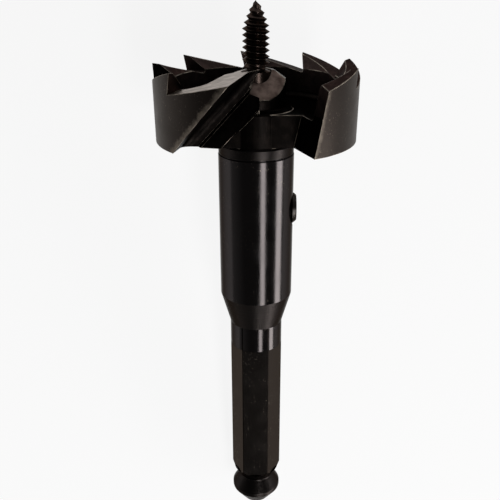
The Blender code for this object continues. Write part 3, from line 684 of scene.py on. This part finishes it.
def black_oxide(name, colour, rubbed_and_highlit, roughness, rings, specks=0.55, worn_and_highlit_planes=(),
                edge=OILED_EDGE):
    """Oiled oxide: cloudy gloss, turning rings, pale specks, and pale bands by some planes that are
    partly rubbed steel and partly painted highlight.
    """
    mat, tree, shader, at = steel(name, colour, roughness, edge)
    # Handling leaves the oil in clouds some millimetres wide, which change the gloss
    clouds = add(tree, "ShaderNodeTexNoise", Vector=at, Scale=1 / CLOUD, Detail=5.0, Roughness=0.6)
    gloss = add(tree, "ShaderNodeMapRange", i0=clouds, i1=0.3, i2=0.7,
                i3=roughness - 0.04, i4=roughness + 0.06)
    # Specks of dust and small rubbed spots, in patches
    spots = add(tree, "ShaderNodeTexNoise", Vector=at, Scale=1 / SPECK, Detail=3.0, Roughness=0.75)
    spot = add(tree, "ShaderNodeMapRange", i0=spots, i1=0.62, i2=0.72)
    patches = add(tree, "ShaderNodeTexNoise", Vector=at, Scale=1 / SPECK_PATCH, Detail=2.0)
    patch = add(tree, "ShaderNodeMapRange", i0=patches, i1=0.42, i2=0.62, i4=specks)
    rub_and_highlight = add(tree, "ShaderNodeMath", {"operation": "MULTIPLY"}, i0=spot, i1=patch).outputs[0]
    rub_and_highlight = rubbed_and_highlit_bands(tree, at, rub_and_highlight, worn_and_highlit_planes)
    dull = add(tree, "ShaderNodeMath", {"operation": "MULTIPLY_ADD", "use_clamp": True}, i0=rub_and_highlight,
               i1=RUBBED_DULL, i2=gloss)
    # Turning rings: the feed is about 0.1 mm, drawn about four times as coarse so that it shows
    axis = add(tree, "ShaderNodeSeparateXYZ", Vector=at)
    along = add(tree, "ShaderNodeCombineXYZ", Z=axis.outputs[2])
    ring = add(tree, "ShaderNodeTexNoise", Vector=along, Scale=1 / RING_PITCH,
               Detail=4.0, Roughness=0.7)
    grain = add(tree, "ShaderNodeTexNoise", Vector=at, Scale=1 / GRAIN, Detail=3.0)
    grain_part = add(tree, "ShaderNodeMath", {"operation": "MULTIPLY"}, i0=grain, i1=0.9)
    relief = add(tree, "ShaderNodeMath", {"operation": "MULTIPLY_ADD"}, i0=ring,
                 i1=rings, i2=grain_part)
    patterned(tree, shader, (rub_and_highlight, colour, rubbed_and_highlit), dull, relief, 0.2, 0.00004)
    return mat


# Thread: rolled alloy steel, blackened in the same bath and rubbed a shade browner
screw_oxide = black_oxide("black_oxide_thread_steel", "#3a312d", "#8d8172", 0.30, 0.2)
print("finish of the feed screw:", screw_oxide.name)

# %% [markdown]
# The feed screw is a plain shank with a thinner threaded end. Its core is turned like the body. The
# last millimetres draw in to a blunt point, which a power of the height gives.

# %% Core of the feed screw
SHANK_LOW, THREAD_LOW, THREAD_PITCH, CREST_R, ROOT_R = 76.7, 116.6, 1.27, 2.95, 2.05
THREAD_TURNS, POINT_LENGTH, POINT_BLUNT = 10.7, 5.2, 0.6
core_profile = [(SCREW_R - 0.4, SHANK_LOW), (SCREW_R, 77.1), (SCREW_R, THREAD_LOW - 0.5),
                (ROOT_R, THREAD_LOW - 0.1), (ROOT_R, SCREW_TIP - POINT_LENGTH)]
for i in range(1, 12):
    share = i / 12
    core_profile.append((ROOT_R * (1 - share) ** POINT_BLUNT,
                         SCREW_TIP - POINT_LENGTH * (1 - share)))
screw = turned("pilot_screw", [(0, SHANK_LOW)] + core_profile + [(0, SCREW_TIP)], 96)
print("core of the screw:", len(screw.data.polygons), "faces")

# %% [markdown]
# The thread is a ridge that climbs round the core. A Screw modifier could sweep it, but a Geometry
# Nodes tree can go on to draw it in at the tip. Its first half sweeps a small diamond along a
# helix, with the sizes as named inputs.

# %% Sweep the ridge along a helix
RIDGE_SHARE = 0.46
tree, given = new_tree("climbing_thread", [(label, "Float") for label in (
    "Low", "Pitch", "Turns", "Root", "Ridge", "Tip", "Point")] + [("Finish", "Material")])
climb = add(tree, "ShaderNodeMath", {"operation": "MULTIPLY"}, i0=given["Pitch"], i1=given["Turns"])
helix = add(tree, "GeometryNodeCurveSpiral", Resolution=64, Rotations=given["Turns"],
            Start_Radius=given["Root"], End_Radius=given["Root"],
            Height=climb)
standing = add(tree, "GeometryNodeSetCurveNormal", {"mode": "Z_UP"}, Curve=helix)
ridge = add(tree, "GeometryNodeCurvePrimitiveCircle", Resolution=4, Radius=1.0)
flank_width = add(tree, "ShaderNodeMath", {"operation": "MULTIPLY"}, i0=given["Pitch"],
                  i1=RIDGE_SHARE)
section_size = add(tree, "ShaderNodeCombineXYZ", X=given["Ridge"], Y=flank_width, Z=1.0)
section = add(tree, "GeometryNodeTransform", Geometry=ridge, Scale=section_size)
swept = add(tree, "GeometryNodeCurveToMesh", Curve=standing, Profile_Curve=section, Fill_Caps=True)
lift = add(tree, "ShaderNodeCombineXYZ", Z=given["Low"])
placed = add(tree, "GeometryNodeTransform", Geometry=swept, Translation=lift)
print("nodes that sweep the ridge:", len(tree.nodes))

# %% [markdown]
# The second half pulls every point towards the axis near the tip, by the same power as the core.
# That gives the gimlet point that starts the hole. The ridge also grows out of the core over its
# first turn, as a rolled thread does.

# %% Draw the thread in to its point
THREAD_START = 0.70
where = add(tree, "GeometryNodeInputPosition")
parts = add(tree, "ShaderNodeSeparateXYZ", Vector=where)
left = add(tree, "ShaderNodeMath", {"operation": "SUBTRACT"}, i0=given["Tip"], i1=parts.outputs[2])
ratio = add(tree, "ShaderNodeMath", {"operation": "DIVIDE", "use_clamp": True},
            i0=left, i1=given["Point"])
taper = add(tree, "ShaderNodeMath", {"operation": "POWER"}, i0=ratio, i1=POINT_BLUNT)
rise = add(tree, "ShaderNodeMath", {"operation": "SUBTRACT"}, i0=parts.outputs[2], i1=given["Low"])
fade = add(tree, "ShaderNodeMath", {"operation": "DIVIDE", "use_clamp": True},
           i0=rise, i1=given["Pitch"])
fade_in = add(tree, "ShaderNodeMapRange", i0=fade, i3=THREAD_START, i4=1.0)
shrink = add(tree, "ShaderNodeMath", {"operation": "MULTIPLY"}, i0=taper, i1=fade_in)
drawn_in = add(tree, "ShaderNodeCombineXYZ", X=shrink, Y=shrink, Z=1.0)
tapered = add(tree, "ShaderNodeVectorMath", {"operation": "MULTIPLY"}, i0=where, i1=drawn_in)
pointed = add(tree, "GeometryNodeSetPosition", Geometry=placed, Position=tapered)
real = add(tree, "GeometryNodeRealizeInstances", Geometry=pointed)
dressed = add(tree, "GeometryNodeSetMaterial", Geometry=real, Material=given["Finish"])
add(tree, "NodeGroupOutput", Geometry=dressed)
thread = bpy.data.objects.new("thread", bpy.data.meshes.new("thread"))
bpy.context.collection.objects.link(thread)
run_tree(thread, tree, {
    "Low": THREAD_LOW, "Pitch": THREAD_PITCH, "Turns": THREAD_TURNS, "Root": ROOT_R,
    "Ridge": CREST_R - ROOT_R, "Tip": SCREW_TIP, "Point": POINT_LENGTH, "Finish": screw_oxide})
widest = max(math.hypot(v.co.x, v.co.y) for v in thread.data.vertices)
print("thread:", len(thread.data.polygons), "faces, crest radius", round(widest, 2), "mm, top",
      round(max(v.co.z for v in thread.data.vertices), 2))

# %% [markdown]
# The set screw is a short turned plug with a hexagon socket. Its threaded side stands a little
# out of the hole in the barrel, so a few thread ridges show round it. These are turned as rings:
# at this size a true helix would look the same.

# %% Set screw
SET_SOCKET, SOCKET_DEPTH, SET_THREAD, SET_CHAMFER = 4.0, 2.6, 0.8, 0.35
SET_ROOT, SET_CREST, SET_POINT = SET_R - 0.42, SET_R - 0.03, SET_R - 1.2
set_from = SCREW_R - 0.5 + 0.3
set_long = BARREL_R + SET_PROUD - set_from
profile = [(0, 0), (SET_POINT, 0)]
height = 1.0
while height + SET_THREAD < set_long - SET_CHAMFER:
    profile += [(SET_ROOT, height), (SET_CREST, height + 0.5 * SET_THREAD)]
    height += SET_THREAD
profile += [(SET_ROOT, set_long - SET_CHAMFER), (SET_R - 0.75, set_long), (0, set_long)]
set_screw = turned("socket_set_screw", profile, 96)
socket_r = 0.5 * SET_SOCKET / math.cos(math.radians(30.0))
mouth_r = socket_r + SET_CHAMFER
socket = turned("socket", [
    (0, set_long - SOCKET_DEPTH - 1.0), (socket_r, set_long - SOCKET_DEPTH),
    (socket_r, set_long - 0.3), (mouth_r, set_long + 0.05), (mouth_r, set_long + 1.0),
    (0, set_long + 1.0)], 6)
combine(set_screw, socket, "DIFFERENCE")
set_screw.data.transform(Matrix.Translation((set_from, 0, SET_HEIGHT)) @ to_the_side)
print("set screw stands", SET_PROUD, "mm out of the barrel")

# %% [markdown]
# The faces that a lathe or a mill left take six more kinds of black oxide. The rim's outer side has
# the richest one: a ragged pale band beside the lip and beside the right wall of the gullet. It is
# partly steel that chips and handling rub bare, and partly a painted highlight along those edges, so
# both planes are handed to its finish.

# %% Finishes of the black faces
# Turned alloy steel, blackened and oiled: the lamps show as narrow streaks crossed by fine rings
turned_oxide = black_oxide("black_oxide_turned_steel", "#353232", "#8d8172", 0.13, 1.0)
# The rim's outer side, ground and blackened: duller, with pale bands beside the lip and the gullet,
# partly bare steel and partly painted highlight
rake_3d = slant_side * rake.x + Vector((0, rake.y, 0))
rake_normal = slant_dir.cross(rake_3d).normalized()
rake_normal *= -1 if rake_normal.dot(slant_side) > 0 else 1
wall_at = Vector((RIGHT_WALL_X, -RIGHT_WALL_Y, FLOOR))
wall_level = Vector((-math.tan(RIGHT_WALL_SKEW), 1, 0))
wall_rise = Vector((math.tan(RIGHT_WALL_SLANT), 0, 1))
wall_normal = wall_level.cross(wall_rise).normalized()
rim_oxide = black_oxide("black_oxide_rim_steel", "#2c2724", "#978c7f", 0.42, 0.5, 0.9,
                        [(LIP_OUT, rake_normal, 0.9, 0.75), (wall_at, wall_normal, 0.7, 0.4)],
                        (0.8, 0.78, 0.76, 1.0))
# The ring under the head, the taper and the collar, turned rough: deep rings break the streaks up
ring_oxide = black_oxide("black_oxide_faced_steel", "#262322", "#8d8172", 0.30, 9.0, 0.3)
# The hexagon's flats, milled fine: even, a shade paler than the barrel, with the most specks
hexagon_oxide = black_oxide("black_oxide_hexagon_flats", "#3f3a37", "#9a8e80", 0.17, 0.2, 0.8)
# The set screw: turned alloy steel, blackened in the same bath
set_oxide = black_oxide("black_oxide_alloy_screw", "#282625", "#7c7164", 0.28, 0.2)
# The gullet and the cup: nearly black, with faint upright feed marks. The near-black colour is partly
# the dull milled finish and partly painted shade of the hollow.
gullet_oxide_and_shade = milled_oxide("black_oxide_milled_steel_painted_shade", "#0e0c0b", "#1a1614", 0.42)
print("rake face points", [round(v, 2) for v in rake_normal],
      "and the right wall", [round(v, 2) for v in wall_normal])

# %% [markdown]
# The flank, the boss's chamfer and the worn corners show the steel itself. A grinding wheel leaves
# fine streaks one way, which spread the light across them, and oil leaves a thin brown stain. The
# streaks could be an anisotropic shader, but a stretched noise also shows each single mark.

# %% Ground steel
GRIT_MARK, MARK_RUN, STAIN = 0.16, 0.25, 2.0


def ground_steel(name, colour, stain, roughness, streak):
    """Bare steel from a grinding wheel: fine streaks one way, and a thin brown stain of oil."""
    mat, tree, shader, at = steel(name, colour, roughness, (0.8, 0.8, 0.8, 1.0))
    # Wheel marks are some hundredths of a millimetre wide, drawn at GRIT_MARK so that they show
    streaks = add(tree, "ShaderNodeMapping", Vector=at, Rotation=(0, 0, streak),
                  Scale=(MARK_RUN, 1 / GRIT_MARK, 1.0))
    marks = add(tree, "ShaderNodeTexNoise", Vector=streaks, Scale=1.0, Detail=4.0, Roughness=0.7)
    stains = add(tree, "ShaderNodeTexNoise", Vector=at, Scale=1 / STAIN, Detail=4.0)
    amount = add(tree, "ShaderNodeMapRange", i0=stains, i1=0.35, i2=0.65)
    gloss = add(tree, "ShaderNodeMapRange", i0=marks, i1=0.3, i2=0.7,
                i3=roughness - 0.06, i4=roughness + 0.1)
    patterned(tree, shader, (amount, colour, stain), gloss, marks, 0.3, 0.00004)
    return mat


# The flank behind the lip, ground when the bit is sharpened: the palest face, with soft streaks
ground_flank = ground_steel("ground_steel_flank", "#bcb0a6", "#8c8076", 0.42, LIP_SKEW)
# Edges rubbed bare by wood: thin pale lines, broken by what is left of the oxide
worn_edges = ground_steel("worn_steel_edges", "#a89d90", "#3c3630", 0.52, 0.0)
# The chamfer on the boss, ground across: a warm brown grey
ground_boss = ground_steel("ground_steel_boss_flat", "#96837a", "#63534c", 0.40,
                           FLAT_TURN + math.pi / 2)
print("finishes:", sorted(m.name for m in bpy.data.materials if m.name != "Material"))

# %% [markdown]
# One body carries all these finishes, as the real one does. Each face is given its own by where it
# is and which way it points. Painting by hand would have to be done again after each change of
# size, and this rule follows the sizes.

# %% Give the faces their finishes
TURNED, WORN, FLANK, BOSS_FLAT, RIM, GULLET, TEETH, FACED, HEXAGON = range(9)
ALONG_PLANE, TEETH_REACH, HEX_REACH = 0.9995, 3.0, 0.53 * HEX_FLATS
body.data.materials.clear()
for mat in (turned_oxide, worn_edges, ground_flank, ground_boss, rim_oxide, gullet_oxide_and_shade,
            tooth_oxide, ring_oxide, hexagon_oxide):
    body.data.materials.append(mat)
flank_normal = Vector((-lip_side.x * FLANK_DROP, -lip_side.y * FLANK_DROP, 1)).normalized()


def finish_of_head(centre, normal, reach):
    """The finish of a face of the cutter head, by its place and the way it points."""
    outward = (normal.x * centre.x + normal.y * centre.y) / max(reach, 0.001)
    if reach > RIM_LOW_R - 0.3 and outward > 0.9:
        return RIM
    if normal.dot(flank_normal) > ALONG_PLANE and reach > NOSE_R:
        return FLANK
    if normal.dot(flat_up) > ALONG_PLANE:
        return BOSS_FLAT
    if reach > CUP_R - 0.5 and centre.z > bevel_low - TEETH_REACH:
        return TEETH
    on_nose = reach < BOSS_R + 0.1 and centre.z > BOSS_TOP
    return GULLET if reach > SCREW_R + 0.3 and not on_nose else TURNED


painted = [0] * len(body.data.materials)
for poly in body.data.polygons:
    height, reach = poly.center.z, math.hypot(poly.center.x, poly.center.y)
    finish = TURNED
    if height > BASE_HUB - 0.05:
        finish = finish_of_head(poly.center, poly.normal, reach)
    elif height > BARREL_TOP + 0.3 or TAPER_LOW < height < TAPER_HIGH or height < HEX_LOW:
        finish = FACED
    elif height < HEX_HIGH:
        # Faces off the hexagon's flats, at its corners, take the near-black gullet finish as painted
        # shade, which keeps their line of light dim
        finish = HEXAGON if reach < HEX_REACH else GULLET
    poly.material_index = finish
    poly.use_smooth = True
    painted[finish] += 1
print("faces by finish:", painted)

# %% [markdown]
# Sharp corners on the head are rubbed bare where wood meets them. A narrow bevel makes room for that
# and takes the worn steel. Slivers left by the Booleans are merged first, because the bevel would
# tear them. Corners below the head and under the gullet take the near-black gullet finish instead, as
# painted shade.

# %% Rub the corners bare
SHARP, EDGE_WIDTH, SLIVER = math.radians(32.0), 0.10, 0.012
merge = body.modifiers.new("merge_slivers", "WELD")
merge.merge_threshold = SLIVER
edge_cut = body.modifiers.new("edge_cut", "BEVEL")
edge_cut.width = EDGE_WIDTH
edge_cut.segments = 2
edge_cut.limit_method = "ANGLE"
edge_cut.angle_limit = SHARP
edge_cut.material = WORN
edge_cut.use_clamp_overlap = False
bake_modifiers(body)
for poly in body.data.polygons:
    reach = math.hypot(poly.center.x, poly.center.y)
    under = poly.normal.z < -0.2 and reach < RIM_LOW_R - 0.5
    # Painted shade: these corners get the near-black gullet finish in place of bare steel
    if poly.material_index == WORN and (poly.center.z < BASE_HUB - 0.5 or under):
        poly.material_index = GULLET
print("worn faces:", sum(1 for p in body.data.polygons if p.material_index == WORN))

# %% [markdown]
# A bevel beside a long face tilts the shading of that face. Weighted normals let the larger face
# rule at each corner, so its reflections stay straight. The thread joins its core here, since the
# two are one piece of steel.


# %% Smooth the curves
def smooth_curves(obj):
    """Shade curves smooth and corners sharp, and let the larger face rule at each corner."""
    obj.data.shade_smooth()
    obj.data.set_sharp_from_angle(angle=SHARP)
    weighted = obj.modifiers.new("weighted", "WEIGHTED_NORMAL")
    weighted.mode = "FACE_AREA"
    weighted.keep_sharp = True
    bake_modifiers(obj)


screw_mesh = bmesh.new()
screw_mesh.from_mesh(screw.data)
screw_mesh.from_mesh(thread.data)
screw_mesh.to_mesh(screw.data)
screw_mesh.free()
bpy.data.objects.remove(thread, do_unlink=True)
for obj, mat in ((screw, screw_oxide), (set_screw, set_oxide)):
    obj.data.materials.clear()
    obj.data.materials.append(mat)
for obj in (body, screw, set_screw):
    smooth_curves(obj)
    print(obj.name, len(obj.data.polygons), "faces")

# %% [markdown]
# All three pieces are made on the bit's own axes. Now each mesh goes through the one matrix into the
# frame, while its object stays at the origin. Each rides on the only body and stands for its solid,
# which is hidden.

# %% Hand the pieces to the frame
for obj in (body, screw, set_screw):
    obj.data.transform(TO_FRAME)
    obj.data.update()
    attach(obj, "root")
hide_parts("bit_body")
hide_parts("feed_screw")
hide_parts("set_screw")
for obj in (body, screw, set_screw):
    triangles = sum(len(p.vertices) - 2 for p in obj.data.polygons)
    print(obj.name, triangles, "triangles")

# %% [markdown]
# The bit lies on a pale floor. The floor shows white to the camera and to reflections, but still
# takes the shadow, because a part of what it shows is its real shading. More light would make it
# white too, but it would also wash the black steel out.

# %% Floor
REACH, GLOW_SHARE = 3.0, 0.88
floor_mesh = bpy.data.meshes.new("floor")
corners = [(-REACH, -REACH, 0), (REACH, -REACH, 0), (REACH, REACH, 0), (-REACH, REACH, 0)]
floor_mesh.from_pydata(corners, [], [(0, 1, 2, 3)])
floor = bpy.data.objects.new("floor", floor_mesh)
bpy.context.collection.objects.link(floor)
floor.location.z = -0.00002
paper = bpy.data.materials.new("matt_white_paper")
paper.use_nodes = True
tree = paper.node_tree
tree.nodes.clear()
surface = add(tree, "ShaderNodeBsdfDiffuse", Color=linear("#e6e6e6"))
glow = add(tree, "ShaderNodeEmission", Color=(1, 1, 1, 1), Strength=1.0)
path = add(tree, "ShaderNodeLightPath")
seen = add(tree, "ShaderNodeMath", {"operation": "MAXIMUM"}, i0=path.outputs["Is Camera Ray"],
           i1=path.outputs["Is Glossy Ray"])
seen_too = add(tree, "ShaderNodeMath", {"operation": "MAXIMUM"}, i0=seen,
               i1=path.outputs["Is Transmission Ray"])
share = add(tree, "ShaderNodeMath", {"operation": "MULTIPLY"}, i0=seen_too, i1=GLOW_SHARE)
mixed = add(tree, "ShaderNodeMixShader", i0=share, i1=surface, i2=glow)
add(tree, "ShaderNodeOutputMaterial", Surface=mixed)
floor_mesh.materials.append(paper)
print("floor:", 2 * REACH, "m wide")

# %% [markdown]
# Two long soft lamps lie along the bit, one above it and one low on its right. Each shows as one
# streak on the round barrel, so its width in degrees sets the width of that streak. The strength is
# the lamp's brightness, and its power follows from its size.


# %% Lamps
def strip_lamp(name, azimuth, width, strength, distance=0.6, length=1.6, along=-0.9):
    """A long soft lamp beside the bit, at an azimuth about the long axis from straight up."""
    angle = math.radians(azimuth)
    lamp = bpy.data.lights.new(name, "AREA")
    lamp.shape = "RECTANGLE"
    lamp.size = 2 * distance * math.tan(math.radians(width) / 2)
    lamp.size_y = length
    lamp.energy = strength * lamp.size * lamp.size_y * math.pi
    obj = bpy.data.objects.new(name, lamp)
    bpy.context.collection.objects.link(obj)
    toward = Vector((math.sin(angle), 0, math.cos(angle)))
    obj.matrix_world = Matrix.Translation(toward * distance + Vector((0, along, 0.02))) @ (
        Matrix.Rotation(angle, 4, "Y"))
    print(name, round(lamp.energy, 2), "W")


strip_lamp("upper_softbox", 17, 15, 8.5)
strip_lamp("side_softbox", 73, 20, 9.5)

# %% [markdown]
# The world gives a dim fill, paler towards the horizon, as the far wall of a white studio does. It
# softens the edge that the floor shows in the barrel.

# %% World and view
HORIZON, OVERHEAD, DIM_FROM = 0.36, 0.09, 0.6
world = bpy.data.worlds.new("studio")
bpy.context.scene.world = world
world.use_nodes = True
tree = world.node_tree
tree.nodes["Background"].inputs["Color"].default_value = (1, 1, 1, 1)
ray = add(tree, "ShaderNodeTexCoord")
heights = add(tree, "ShaderNodeSeparateXYZ", Vector=ray.outputs["Generated"])
level = add(tree, "ShaderNodeMapRange", i0=heights.outputs[2], i1=0.0, i2=DIM_FROM, i3=HORIZON,
            i4=OVERHEAD)
tree.links.new(level.outputs[0], tree.nodes["Background"].inputs["Strength"])
bpy.context.scene.view_settings.view_transform = "Standard"
print("view transform:", bpy.context.scene.view_settings.view_transform)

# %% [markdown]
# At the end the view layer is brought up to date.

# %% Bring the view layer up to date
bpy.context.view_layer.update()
